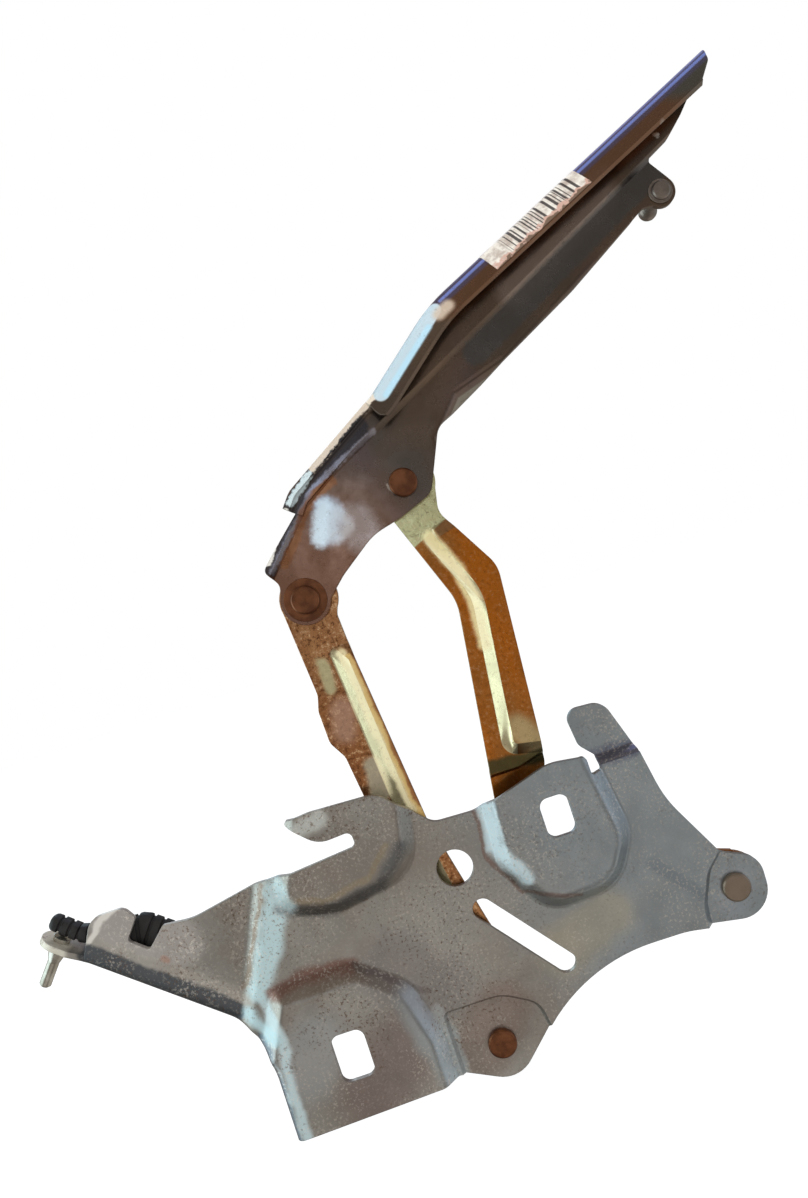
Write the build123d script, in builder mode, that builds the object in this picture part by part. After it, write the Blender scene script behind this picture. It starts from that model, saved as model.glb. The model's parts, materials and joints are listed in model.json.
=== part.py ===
from build123d import *
from math import atan2, cos, degrees, hypot, radians, sin, tan
import os

os.makedirs("parts", exist_ok=True)

# Bonnet hinge of a car: a pressed body bracket, two pressed links and a folded bonnet arm.
# Frame: origin at the centre of the round locating hole, on the bolting side of the bracket.
# X points to the front of the car, Z up, Y away from the bolting side. Sizes are millimetres.

# Sheet thicknesses and running clearances
bracket_sheet = 3.0
arm_sheet = 3.0
link_sheet = 4.0
shank_clearance = 0.05
press_clearance = 0.02
running_gap = 0.3

# Pivots, as (x, z)
front_body_pivot = (-5.3, -91.5)
rear_body_pivot = (131.6, -55.6)
front_arm_pivot = (-28.6, 150.9)
rear_arm_pivot = (36.6, 191.3)

# Pivot hardware
shank_diameter = 10.0
bush_wall = 1.0
bush_flange_diameter = 17.0
bush_flange_thickness = 1.0
washer_diameter = 19.0
washer_thickness = 1.2
head_diameter = 14.5
head_height = 3.0
head_edge = 0.8
tail_diameter = 15.0
tail_height = 3.2
head_washer_diameter = 22.0
head_washer_thickness = 1.0

# Levels of the pressed bracket, measured back from its web
pad_height = 7.0
tail_setback = 3.5
front_ear_setback = 3.0
rear_ear_setback = 6.0
tab_setback = 6.0
pad_slope = 45.0
tail_slope = 25.0
ear_slope = 60.0
pad_edge_radius = 5.0
pad_foot_radius = 2.5
tail_edge_radius = 8.0
press_depth = 26.0

# Turned-back flange along the tail and the lower pad of the bracket
flange_bend_radius = 5.0
tail_flange_depth = 15.0
pad_flange_depth = 13.0
flange_start = (-192.0, 11.0)
flange_corner = (-116.0, -50.0)
flange_end = (-116.4, -112.0)
flange_corner_radius = 45.0

# Holes of the bracket
locating_hole_diameter = 18.5
lower_bolt_hole = (-76.7, -69.8)
lower_bolt_hole_size = (17.0, 24.0)
upper_bolt_hole = (56.5, 10.3)
upper_bolt_hole_size = (14.5, 20.0)
bolt_hole_corner_radius = 4.5
slot_start = (6.8, -23.9)
slot_end = (37.7, -62.2)
slot_width = 10.5

# Levels that follow from the stack at the pivots
arm_front = front_ear_setback
arm_back = arm_front + arm_sheet
link_front = arm_back + washer_thickness
link_back = link_front + link_sheet
rear_link_low_front = rear_ear_setback + bracket_sheet + washer_thickness
link_joggle = rear_link_low_front - link_front
link_bore_diameter = shank_diameter + 2 * (shank_clearance + bush_wall + press_clearance)


def side(depth):
    """Drawing plane parallel to the web, at a depth behind its bolting face."""
    return Plane(origin=(0, depth, 0), x_dir=(1, 0, 0), z_dir=(0, -1, 0))


def rounded(corners):
    """Closed outline through (x, z, corner radius) points, for use inside BuildLine."""
    points = [(x, z) for x, z, radius in corners]
    return FilletPolyline(*points, radius=[radius for x, z, radius in corners], close=True)


def press_face(corners, depth, shift):
    """Face of one pressed area at a depth, grown or shrunk by shift."""
    with BuildSketch(side(depth)) as face:
        with BuildLine():
            rounded(corners)
        make_face()
        if shift:
            offset(amount=shift, kind=Kind.INTERSECTION)
    return face.sketch


def level_edges(solid, depth, reach):
    """Edges of a solid that lie at one depth, without those of the oversize blank."""
    flat = solid.edges().filter_by_position(Axis.Y, depth - 0.01, depth + 0.01)
    return flat.filter_by(lambda edge: max(edge.bounding_box().size) < reach)


# Pressed areas of the bracket as (x, z, corner radius), drawn at the level of the web
lower_pad = [
    (-107, -28, 10),
    (-62, -28, 20),
    (-39, -46, 24),
    (-31, -75, 14),
    (-31, -150, 0),
    (-166, -150, 0),
]
upper_pad = [(24, 60, 0), (20, -8, 20), (38, -36, 20), (76, -35, 24), (90, -10, 24), (80, 60, 0)]
hook_pad = [(-72, 60, 0), (-95, 5, 15), (-60, -3, 20), (-18, 4, 24), (-7, 60, 0)]
tail_top = (-75.4, 60)
tail_bottom = (-140.7, -90)
tail_area = [(*tail_top, 0), (*tail_bottom, 0), (-260, -90, 0), (-260, 60, 0)]
front_ear_area = [(-29, -67, 3), (2, -67, 22), (19, -77, 12), (28, -130, 0), (-29, -130, 0)]
rear_ear_area = [(134, -28, 0), (119, -42, 16), (112, -58, 20), (109, -95, 0), (175, -95, 0), (175, -28, 0)]

# Cut outline of the bracket, clockwise from the end of the tail
bracket_outline = [
    (-197, 5, 0),
    (-183, 33, 9),
    (-165.5, 33, 6),
    (-161, 26, 1.5),
    (-168.5, 16.3, 2),
    (-159.2, 8.6, 2),
    (-149.2, 18.2, 2),
    (-134, 16.6, 30),
    (-97, 23.5, 40),
    (-80, 24.4, 10),
    (-42.6, 27.6, 3),
    (-43, 35.4, 3),
    (-60, 34.4, 14),
    (-75.2, 49.3, 1.5),
    (-60, 50.7, 30),
    (-25, 49, 14),
    (-3.2, 24.9, 9),
    (18, 24, 16),
    (60, 36.2, 26),
    (79, 33.4, 3),
    (79, 23.5, 2),
    (85, 23.5, 1),
    (85, 26, 0),
    (106.2, 26, 0),
    (110.5, 0, 60),
    (129.5, -36.6, 10),
    (147.8, -44.5, 12),
    (146.8, -75.5, 15),
    (100, -67, 50),
    (46, -66.5, 90),
    (-2.6, -112.3, 16),
    (-29.5, -99.2, 8),
    (-70, -100.6, 0),
    (-125, -102.4, 0),
    (-125, -58, 0),
]


def flange_line():
    """Line of the outer face of the turned-back flange, for use inside BuildLine."""
    FilletPolyline(flange_start, flange_corner, flange_end, radius=flange_corner_radius)


def on_flange(edge, line):
    """True for an edge of the press form that runs along the bend of the flange."""
    ends = [edge @ 0, edge @ 0.5, edge @ 1]
    near = all(line.distance_to(Vertex(end.X, press_depth, end.Z)) < 0.05 for end in ends)
    return near and edge.bounding_box().max.Y < press_depth / 2


def bracket_form(skin):
    """Press form of the bracket: all that lies behind its bolting face, or behind its back face."""
    pad_shift = -skin * tan(radians(pad_slope / 2))
    tail_shift = skin * tan(radians(tail_slope / 2))
    ear_shift = skin * tan(radians(ear_slope / 2))
    tail_line = Vector(tail_top[0] - tail_bottom[0], 0, tail_top[1] - tail_bottom[1])
    with BuildPart() as form:
        with BuildSketch(side(press_depth)) as blank:
            with Locations((-20, -25)):
                Rectangle(460, 230)
        extrude(blank.sketch, amount=press_depth - skin)
        tail = press_face(tail_area, skin, tail_shift)
        extrude(tail, amount=-tail_setback, taper=90 - tail_slope, mode=Mode.SUBTRACT)
        for area, setback in ((front_ear_area, front_ear_setback), (rear_ear_area, rear_ear_setback)):
            ear = press_face(area, skin, ear_shift)
            extrude(ear, amount=-setback, taper=90 - ear_slope, mode=Mode.SUBTRACT)
        for area in (lower_pad, upper_pad, hook_pad):
            extrude(press_face(area, skin, pad_shift), amount=pad_height, taper=90 - pad_slope)
            # the bends are rounded on the bolting face and sharp behind it
            if not skin:
                foot = form.edges(Select.LAST).filter_by_position(Axis.Y, -0.01, 0.01)
                fillet(foot, pad_foot_radius)
                fillet(level_edges(form, -pad_height, 150), pad_edge_radius)
        with BuildSketch(side(press_depth)) as inside:
            with BuildLine():
                flange_line()
                below = [(-60, -112), (-50, -122), (190, -122)]
                Polyline(flange_end, *below, (190, 60), (-230, 60), (-230, 41.5), flange_start)
            make_face()
            offset(amount=-skin, kind=Kind.INTERSECTION)
        extrude(inside.sketch, amount=press_depth + pad_height, mode=Mode.INTERSECT)
        slope = form.edges().filter_by(lambda edge: edge.length > 60 and edge.bounding_box().max.Y < 8)
        slope = slope.filter_by(lambda edge: (edge @ 1 - edge @ 0).get_angle(tail_line) % 180 < 0.1)
        fillet(slope, tail_edge_radius)
        rim = inside.sketch.edges().filter_by(lambda edge: edge.bounding_box().max.X < -110)
        rim = rim.filter_by(lambda edge: edge.bounding_box().max.Z < 50)
        line = Compound(rim)
        bend = form.edges().filter_by(lambda edge: on_flange(edge, line))
        fillet(bend, flange_bend_radius - skin)
    return form.part


# Tab that stands behind the shoulder of the bracket, joggled back from the web
tab_bend_slope = 60.0
tab_bend_radius = 1.5
tab_root = 18.0
tab_bend_height = 26.5
tab_outline = [
    (85.2, tab_root, 0),
    (85.2, 30, 2),
    (78.9, 37, 5),
    (76.8, 56.2, 6),
    (97.2, 54.8, 9),
    (105.9, 27.5, 2),
    (106.6, tab_root, 0),
]
with BuildPart() as tab:
    rise = tab_setback / tan(radians(tab_bend_slope))
    lead = bracket_sheet * tan(radians(tab_bend_slope / 2))
    outer_radius = tab_bend_radius + bracket_sheet
    with BuildSketch(Plane.YZ.offset(tab_outline[3][0])):
        with BuildLine():
            FilletPolyline(
                (0, tab_root),
                (0, tab_bend_height),
                (tab_setback, tab_bend_height + rise),
                (tab_setback, 60),
                (tab_setback + bracket_sheet, 60),
                (tab_setback + bracket_sheet, tab_bend_height + rise - lead),
                (bracket_sheet, tab_bend_height - lead),
                (bracket_sheet, tab_root),
                radius=[0, outer_radius, tab_bend_radius, 0, 0, outer_radius, tab_bend_radius, 0],
                close=True,
            )
        make_face()
    extrude(amount=32)
    with BuildSketch(side(press_depth)):
        with BuildLine():
            rounded(tab_outline)
        make_face()
    extrude(amount=press_depth + pad_height, mode=Mode.INTERSECT)

# Tongue: the flange of the tail runs on past the web and carries the locating pin
flange_run = Vector(flange_start[0] - flange_corner[0], 0, flange_start[1] - flange_corner[1]).normalized()
flange_out = flange_run.cross(Vector(0, 1, 0))
flange_plane = Plane(origin=(flange_start[0], 0, flange_start[1]), x_dir=flange_run, z_dir=flange_out)
pin_place = (18.5, 14.0)
tongue_half_width = 10.0
tongue_radius = 9.9
tongue_end = pin_place[0] + tongue_half_width
tail_flange_back = tail_setback + tail_flange_depth
tongue_outline = [
    (-6, tail_setback + flange_bend_radius, 0),
    (4, 6.5, 6),
    (12, pin_place[1] - tongue_half_width, 6),
    (tongue_end, pin_place[1] - tongue_half_width, tongue_radius),
    (tongue_end, pin_place[1] + tongue_half_width, tongue_radius),
    (10, pin_place[1] + tongue_half_width, 8),
    (-2, tail_flange_back, 6),
    (-6, tail_flange_back, 0),
]
pin_diameter = 6.0
pin_length = 22.0
pin_collar_diameter = 9.6
pin_collar_height = 2.5
pin_cone_height = 6.0
pin_shank_diameter = 5.0
pin_head_diameter = 9.0
pin_head_height = 2.0

with BuildPart() as base_plate:
    add(bracket_form(0))
    add(bracket_form(bracket_sheet), mode=Mode.SUBTRACT)
    with BuildSketch(side(press_depth)):
        with BuildLine():
            rounded(bracket_outline)
        make_face()
    extrude(amount=press_depth + pad_height, mode=Mode.INTERSECT)
    # back edge of the flange, deeper along the tail than along the lower pad
    pad_flange_back = pad_flange_depth - pad_height
    with BuildSketch(Plane.YZ.offset(-100)):
        with BuildLine():
            Polyline((tail_flange_back, 60), (40, 60), (40, -130), (pad_flange_back, -130))
            FilletPolyline(
                (pad_flange_back, -130),
                (pad_flange_back, -62),
                (tail_flange_back, -28),
                (tail_flange_back, 60),
                radius=12,
            )
        make_face()
    extrude(amount=-140, mode=Mode.SUBTRACT)
    with BuildSketch(flange_plane):
        with BuildLine():
            rounded(tongue_outline)
        make_face()
    extrude(amount=-bracket_sheet)
    add(tab.part)
    # holes: locating, bolts, slot and pivots
    with BuildSketch(side(press_depth)):
        Circle(locating_hole_diameter / 2)
        with Locations(lower_bolt_hole):
            RectangleRounded(*lower_bolt_hole_size, bolt_hole_corner_radius)
        with Locations(upper_bolt_hole):
            RectangleRounded(*upper_bolt_hole_size, bolt_hole_corner_radius)
        slot_run = (slot_end[0] - slot_start[0], slot_end[1] - slot_start[1])
        with Locations(((slot_start[0] + slot_end[0]) / 2, (slot_start[1] + slot_end[1]) / 2)):
            SlotCenterToCenter(
                hypot(*slot_run), slot_width, rotation=degrees(atan2(slot_run[1], slot_run[0]))
            )
        with Locations(front_body_pivot, rear_body_pivot):
            Circle(shank_diameter / 2 + press_clearance)
    extrude(amount=press_depth + pad_height, mode=Mode.SUBTRACT)
    with BuildSketch(flange_plane):
        with Locations(pin_place):
            Circle(pin_shank_diameter / 2 + press_clearance)
    extrude(amount=-bracket_sheet, mode=Mode.SUBTRACT)
base_plate.part.label = "base_plate"
export_step(base_plate.part, "parts/base_plate.step")

# Links
link_eye_radius = 16.5
front_arm_eye_radius = 15.0
front_arm_eye = (front_arm_pivot[0] + 1.2, front_arm_pivot[1])
front_rib_height = 3.2
front_rib_slope = 22.0
rear_rib_height = 3.0
rear_rib_slope = 27.0
joggle_slope = 60.0
rib_edge_radius = 3.0
link_press_depth = 22.0
front_link_outline = [
    (-42.3, 151, 0),
    (-38.6, 103, 8),
    (-40.9, 95, 8),
    (-40.4, 78, 8),
    (-35.2, 69, 8),
    (-27, 0, 60),
    (-21.8, -90, 0),
    (11.2, -92, 0),
    (17, -62, 30),
    (8.5, -38, 40),
    (-5.6, 24, 40),
    (-15.6, 126, 20),
    (-16.3, 139, 6),
    (-12.5, 149, 0),
]
front_rib = [(-26.2, 123.5, 3), (-19.6, 40, 80), (-7, -42, 4), (60, -42, 0), (60, 123.5, 0)]
rear_link_outline = [
    (20.5, 190, 0),
    (43.9, 126, 26),
    (29.5, 20, 60),
    (28, -16, 40),
    (52, -52, 45),
    (131, -72.5, 0),
    (137, -39.5, 0),
    (66, -15, 35),
    (49.5, -3, 12),
    (49.5, 17, 14),
    (60.4, 33, 12),
    (68.8, 137, 18),
    (49, 172, 10),
    (52.5, 189, 0),
]
rear_rib = [(36, 163.5, 5), (51.5, 126, 26), (41.5, 44, 8), (80, 36, 0), (90, 140, 0), (66, 171, 0)]
rear_link_low = [(-20, 37, 0), (47, 36.5, 5), (90, 48, 0), (190, 48, 0), (190, -110, 0), (-20, -110, 0)]


def front_link_form(skin):
    """Press form of the front link, behind its front face or behind its back face."""
    with BuildPart() as form:
        with BuildSketch(side(link_press_depth)) as blank:
            with Locations((-15, 30)):
                Rectangle(120, 300)
        extrude(blank.sketch, amount=link_press_depth - link_front - skin)
        shift = -skin * tan(radians(front_rib_slope / 2))
        rib = press_face(front_rib, link_front + skin, shift)
        extrude(rib, amount=front_rib_height, taper=90 - front_rib_slope)
        edges = form.edges(Select.LAST).filter_by(lambda edge: edge.bounding_box().max.X < 0)
        level = link_front + skin
        fillet(edges.filter_by_position(Axis.Y, level - 0.01, level + 0.01), rib_edge_radius)
    return form.part


def rear_link_form(skin):
    """Press form of the rear link, with its rib and with the low part behind the joggle."""
    with BuildPart() as form:
        with BuildSketch(side(link_press_depth)) as blank:
            with Locations((80, 60)):
                Rectangle(190, 320)
        extrude(blank.sketch, amount=link_press_depth - link_front - skin)
        rib = press_face(rear_rib, link_front + skin, -skin * tan(radians(rear_rib_slope / 2)))
        extrude(rib, amount=rear_rib_height, taper=90 - rear_rib_slope)
        low = press_face(rear_link_low, link_front + skin, skin * tan(radians(joggle_slope / 2)))
        extrude(low, amount=-link_joggle, taper=90 - joggle_slope, mode=Mode.SUBTRACT)
    return form.part


with BuildPart() as front_link:
    add(front_link_form(0))
    add(front_link_form(link_sheet), mode=Mode.SUBTRACT)
    with BuildSketch(side(link_press_depth)):
        with BuildLine():
            rounded(front_link_outline)
        make_face()
        with Locations(front_body_pivot):
            Circle(link_eye_radius)
        with Locations(front_arm_eye):
            Circle(front_arm_eye_radius)
        with Locations(front_body_pivot, front_arm_pivot):
            Circle(link_bore_diameter / 2, mode=Mode.SUBTRACT)
    extrude(amount=link_press_depth, mode=Mode.INTERSECT)
front_link.part.label = "front_link"
export_step(front_link.part, "parts/front_link.step")

with BuildPart() as rear_link:
    add(rear_link_form(0))
    add(rear_link_form(link_sheet), mode=Mode.SUBTRACT)
    with BuildSketch(side(link_press_depth)):
        with BuildLine():
            rounded(rear_link_outline)
        make_face()
        with Locations(rear_body_pivot, rear_arm_pivot):
            Circle(link_eye_radius)
        with Locations(rear_body_pivot, rear_arm_pivot):
            Circle(link_bore_diameter / 2, mode=Mode.SUBTRACT)
    extrude(amount=link_press_depth, mode=Mode.INTERSECT)
rear_link.part.label = "rear_link"
export_step(rear_link.part, "parts/rear_link.step")

# Bonnet arm: web with a raised upper part, wide flange that leans over it, lip along its lower edge
flange_lean = 60.0
flange_width = 11.4
heel_reach = 5.0
web_leg = 10.0
arm_bend_radius = 3.0
web_raise = 3.0
web_raise_slope = 50.0
lip_depth = 8.0
lip_slope = 60.0
lip_bend_radius = 4.0
arm_press_depth = 20.0
arm_lobe_radius = 12.8
stud_place = (205.8, 289.3)
stud_ear_radius = 7.8
stud_shank_diameter = 8.0

# line along the top of the bend between web and flange, from the heel to the tip
bend_line = [
    (-43.0, 173.7, 0),
    (-19.0, 204.2, 14),
    (35.3, 236.7, 30),
    (75.3, 269.5, 90),
    (249.7, 349.0, 0),
]
heel_cut = [(-80, 100, 0), (60, 100, 0), (60, 212, 0), (35.5, 224.5, 5), (29.5, 238, 0), (-80, 300, 0)]
tip_cut = [(246, 356, 0), (243.2, 338.5, 6), (236, 329, 0), (236, 300, 0), (280, 300, 0), (280, 356, 0)]
arm_crease = [
    (-52, 152.5),
    (-14.2, 194.1),
    (2.9, 204.6),
    (202.2, 303.6),
    (262, 334),
]
lip_line = [(59, 194), (59.5, 208), (75.8, 226.0), (104.6, 234.4), (166, 268.0), (188, 280)]
arm_outline = [
    (-41.2, 152, 0),
    (-38.6, 162, 5),
    (-43.8, 170.5, 3),
    (-40.0, 174.8, 0),
    (-14.7, 197.5, 10),
    (40.0, 230.3, 30),
    (79.7, 262.9, 60),
    (231.3, 332.0, 0),
    (235.2, 331.2, 2),
    (226.5, 321.5, 12),
    (217.6, 313.2, 10),
    (204.0, 306.2, 2.5),
    (212.0, 294.2, 0),
    (*stud_place, 0),
    (200.5, 283.6, 0),
    (195.0, 284.2, 4),
    (150.1, 257.7, 60),
    (97.2, 230.5, 60),
    (62.5, 212.8, 12),
    (48.6, 182.0, 10),
    (30.0, 175.0, 12),
    (14.0, 171.3, 30),
    (-6.6, 156.7, 20),
    (-16.0, 148.0, 0),
]


def arm_form(skin):
    """Press form of the arm's web, behind its front face or behind its back face."""
    with BuildPart() as form:
        with BuildSketch(side(arm_press_depth)) as blank:
            with Locations((100, 240)):
                Rectangle(360, 280)
        extrude(blank.sketch, amount=arm_press_depth - arm_front - skin)
        with BuildSketch(side(arm_front + skin)) as lip:
            with BuildLine():
                Polyline(*lip_line, (200, 266), (200, 160), (lip_line[0][0], 160), close=True)
            make_face()
            if skin:
                offset(amount=skin * tan(radians(lip_slope / 2)), kind=Kind.INTERSECTION)
        extrude(lip.sketch, amount=-lip_depth, taper=90 - lip_slope, mode=Mode.SUBTRACT)
        fold = level_edges(form, arm_front + skin, 200).filter_by(lambda edge: (edge @ 0.5).Z > 196)
        fillet(fold, lip_bend_radius - skin)
        with BuildSketch(side(arm_front + skin)) as upper:
            with BuildLine():
                Polyline(*arm_crease, (262, 376), (-52, 376), close=True)
            make_face()
            if skin:
                offset(amount=-skin * tan(radians(web_raise_slope / 2)), kind=Kind.INTERSECTION)
        extrude(upper.sketch, amount=web_raise, taper=90 - web_raise_slope)
    return form.part


bend_run = Vector(bend_line[1][0] - bend_line[0][0], 0, bend_line[1][1] - bend_line[0][1]).normalized()
outer_run = Vector(bend_line[4][0] - bend_line[3][0], 0, bend_line[4][1] - bend_line[3][1]).normalized()
raised_front = arm_front - web_raise
raised_back = raised_front + arm_sheet


def flange_side(radius):
    """One side of the flange in section: foot of the web leg, sharp corner and free edge."""
    face = raised_back - arm_bend_radius - arm_sheet + radius
    rise = radius * tan(radians(45 + flange_lean / 2))
    corner = rise - arm_bend_radius - arm_sheet
    run = rise + flange_width
    edge = (face - run * cos(radians(flange_lean)), corner - run * sin(radians(flange_lean)))
    return [(face, -web_leg), (face, corner), edge]


with BuildPart() as bonnet_flange:
    with BuildLine() as bend_path:
        with BuildLine(Plane(origin=(0, 0, 0), x_dir=(1, 0, 0), z_dir=(0, -1, 0))):
            bend_radii = [radius for x, z, radius in bend_line[1:-1]]
            FilletPolyline(*[(x, z) for x, z, radius in bend_line], radius=bend_radii)
    with BuildSketch(Plane(origin=bend_path.line @ 0, x_dir=(0, 1, 0), z_dir=bend_run)) as section:
        outer_radius = arm_bend_radius + arm_sheet
        with BuildLine():
            FilletPolyline(
                *flange_side(outer_radius),
                *reversed(flange_side(arm_bend_radius)),
                radius=[0, outer_radius, 0, 0, arm_bend_radius, 0],
                close=True,
            )
        make_face()
    sweep(section.sketch, path=bend_path.line)
    # low turned edge at the heel, full flange beyond it, rounded end at the tip
    with BuildSketch(side(raised_front - heel_reach)):
        with BuildLine():
            rounded(heel_cut)
        make_face()
    extrude(amount=30, mode=Mode.SUBTRACT)
    with BuildSketch(side(arm_press_depth)):
        with BuildLine():
            rounded(tip_cut)
        make_face()
    extrude(amount=50, mode=Mode.SUBTRACT)

with BuildPart() as bonnet_arm:
    add(arm_form(0))
    add(arm_form(arm_sheet), mode=Mode.SUBTRACT)
    with BuildSketch(side(arm_press_depth)):
        with BuildLine():
            rounded(arm_outline)
        make_face()
        with Locations(front_arm_pivot):
            Circle(arm_lobe_radius)
        with Locations(stud_place):
            Circle(stud_ear_radius)
    extrude(amount=arm_press_depth + 5, mode=Mode.INTERSECT)
    add(bonnet_flange.part)
    with BuildSketch(side(arm_press_depth)):
        with Locations(front_arm_pivot, rear_arm_pivot):
            Circle(shank_diameter / 2 + press_clearance)
        with Locations(stud_place):
            Circle(stud_shank_diameter / 2 + press_clearance)
    extrude(amount=arm_press_depth + 5, mode=Mode.SUBTRACT)
bonnet_arm.part.label = "bonnet_arm"
export_step(bonnet_arm.part, "parts/bonnet_arm.step")

# Pivot rivets, bushes and thrust washers, all turned on the pivot axes
tail_edge = 1.2
tail_gap = 0.1


def turned(place, profile):
    """Solid turned on a pivot axis from (radius, depth) points."""
    with BuildPart() as solid:
        with BuildSketch(Plane(origin=(place[0], 0, place[1]), x_dir=(1, 0, 0), z_dir=(0, 0, 1))):
            with BuildLine():
                Polyline(*profile, close=True)
            make_face()
        revolve(axis=Axis((place[0], 0, place[1]), (0, 1, 0)))
    return solid.part


def rivet_head(seat):
    """Profile of a rivet head on the face at depth seat, from the axis to the shank."""
    head = head_diameter / 2
    top = seat - head_height
    return [(0, top), (head - head_edge, top), (head, top + head_edge), (head, seat), (shank_diameter / 2, seat)]


def rivet_tail(seat):
    """Profile of a closed rivet end on the face at depth seat, from the shank to the axis."""
    tail = tail_diameter / 2
    end = seat + tail_height
    return [(shank_diameter / 2, seat), (tail, seat), (tail, end - tail_edge), (tail - tail_edge, end), (0, end)]


def rivet(place, seat, tail_seat):
    """Rivet with its head on the face at depth seat and its closed end on the face at tail_seat."""
    return turned(place, rivet_head(seat) + rivet_tail(tail_seat + tail_gap))


def ring(place, bore, outside, front, back):
    """Plain ring between two depths."""
    profile = [(bore / 2, front), (outside / 2, front), (outside / 2, back), (bore / 2, back)]
    return turned(place, profile)


bush_bore = shank_diameter + 2 * shank_clearance
bush_outside = bush_bore + 2 * bush_wall
link_stack_back = link_back + bush_flange_thickness
rear_low_back = rear_link_low_front + link_sheet
rear_low_stack_back = rear_low_back + bush_flange_thickness

with BuildPart() as lower_front_rivet:
    add(rivet(front_body_pivot, front_ear_setback, link_stack_back))
lower_front_rivet.part.label = "lower_front_rivet"
export_step(lower_front_rivet.part, "parts/lower_front_rivet.step")

with BuildPart() as lower_rear_rivet:
    add(rivet(rear_body_pivot, rear_ear_setback, rear_low_stack_back))
lower_rear_rivet.part.label = "lower_rear_rivet"
export_step(lower_rear_rivet.part, "parts/lower_rear_rivet.step")

with BuildPart() as upper_front_rivet:
    add(rivet(front_arm_pivot, arm_front - head_washer_thickness, link_stack_back))
upper_front_rivet.part.label = "upper_front_rivet"
export_step(upper_front_rivet.part, "parts/upper_front_rivet.step")

with BuildPart() as upper_front_head_washer:
    add(ring(front_arm_pivot, bush_bore, head_washer_diameter, arm_front - head_washer_thickness, arm_front))
upper_front_head_washer.part.label = "upper_front_head_washer"
export_step(upper_front_head_washer.part, "parts/upper_front_head_washer.step")

# The fourth rivet is in two halves: the linkage is open there
rear_split = arm_back - press_clearance
with BuildPart() as upper_rear_rivet_head:
    profile = rivet_head(arm_front) + [(shank_diameter / 2, rear_split), (0, rear_split)]
    add(turned(rear_arm_pivot, profile))
upper_rear_rivet_head.part.label = "upper_rear_rivet_head"
export_step(upper_rear_rivet_head.part, "parts/upper_rear_rivet_head.step")

with BuildPart() as upper_rear_rivet_tail:
    tail_start = arm_back + running_gap
    profile = [(0, tail_start), (shank_diameter / 2, tail_start)] + rivet_tail(link_stack_back + tail_gap)
    add(turned(rear_arm_pivot, profile))
upper_rear_rivet_tail.part.label = "upper_rear_rivet_tail"
export_step(upper_rear_rivet_tail.part, "parts/upper_rear_rivet_tail.step")

pivots = {
    "lower_front": (front_body_pivot, front_ear_setback + bracket_sheet, link_front),
    "lower_rear": (rear_body_pivot, rear_ear_setback + bracket_sheet, rear_link_low_front),
    "upper_front": (front_arm_pivot, arm_back, link_front),
    "upper_rear": (rear_arm_pivot, arm_back + running_gap, link_front),
}
for name, (place, washer_front, bush_front) in pivots.items():
    with BuildPart() as bush:
        profile = [
            (bush_bore / 2, bush_front),
            (bush_outside / 2, bush_front),
            (bush_outside / 2, bush_front + link_sheet),
            (bush_flange_diameter / 2, bush_front + link_sheet),
            (bush_flange_diameter / 2, bush_front + link_sheet + bush_flange_thickness),
            (bush_bore / 2, bush_front + link_sheet + bush_flange_thickness),
        ]
        add(turned(place, profile))
    bush.part.label = name + "_bush"
    export_step(bush.part, "parts/" + name + "_bush.step")
    with BuildPart() as washer:
        add(ring(place, bush_bore, washer_diameter, washer_front, bush_front))
    washer.part.label = name + "_washer"
    export_step(washer.part, "parts/" + name + "_washer.step")

# Ball stud for the gas spring, riveted through the ear of the arm
ball_diameter = 10.0
ball_depth = 27.0
ball_steps = 9
ball_neck_angle = 38.0
stud_collar_diameter = 13.0
stud_collar_thickness = 2.5
stud_head_diameter = 9.5
stud_head_height = 2.2
stud_seat_diameter = 12.4
stud_seat_thickness = 0.6
with BuildPart() as ball_stud:
    seat = arm_front - stud_seat_thickness
    collar = arm_back + stud_collar_thickness
    head = stud_head_diameter / 2
    ball = []
    for step in range(ball_steps + 1):
        angle = radians(ball_neck_angle + (180 - ball_neck_angle) * step / ball_steps)
        ball.append((ball_diameter / 2 * sin(angle), ball_depth - ball_diameter / 2 * cos(angle)))
    profile = [
        (0, seat - stud_head_height),
        (head - head_edge, seat - stud_head_height),
        (head, seat - stud_head_height + head_edge),
        (head, seat),
        (stud_seat_diameter / 2, seat),
        (stud_seat_diameter / 2, arm_front),
        (stud_shank_diameter / 2, arm_front),
        (stud_shank_diameter / 2, arm_back),
        (stud_collar_diameter / 2, arm_back),
        (stud_collar_diameter / 2, collar),
        (ball[0][0], collar),
        *ball[:-1],
        (0, ball[-1][1]),
    ]
    add(turned(stud_place, profile))
ball_stud.part.label = "ball_stud"
export_step(ball_stud.part, "parts/ball_stud.step")

# Locating pin, riveted through the tongue and pointing down and back from it
pin_plane = Plane(
    origin=flange_plane.from_local_coords((pin_place[0], pin_place[1], 0)),
    x_dir=flange_run,
    z_dir=flange_run.cross(flange_out),
)
with BuildPart() as locating_pin:
    with BuildSketch(pin_plane):
        with BuildLine():
            Polyline(
                (0, -bracket_sheet - pin_head_height),
                (pin_head_diameter / 2, -bracket_sheet - pin_head_height),
                (pin_head_diameter / 2, -bracket_sheet),
                (pin_shank_diameter / 2, -bracket_sheet),
                (pin_shank_diameter / 2, 0),
                (pin_collar_diameter / 2, 0),
                (pin_collar_diameter / 2, pin_collar_height),
                (pin_diameter / 2, pin_collar_height + pin_cone_height),
                (pin_diameter / 2, pin_length - pin_diameter / 6),
                (pin_diameter / 3, pin_length),
                (0, pin_length),
                close=True,
            )
        make_face()
    revolve(axis=Axis(pin_plane.origin, flange_out))
locating_pin.part.label = "locating_pin"
export_step(locating_pin.part, "parts/locating_pin.step")

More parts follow.
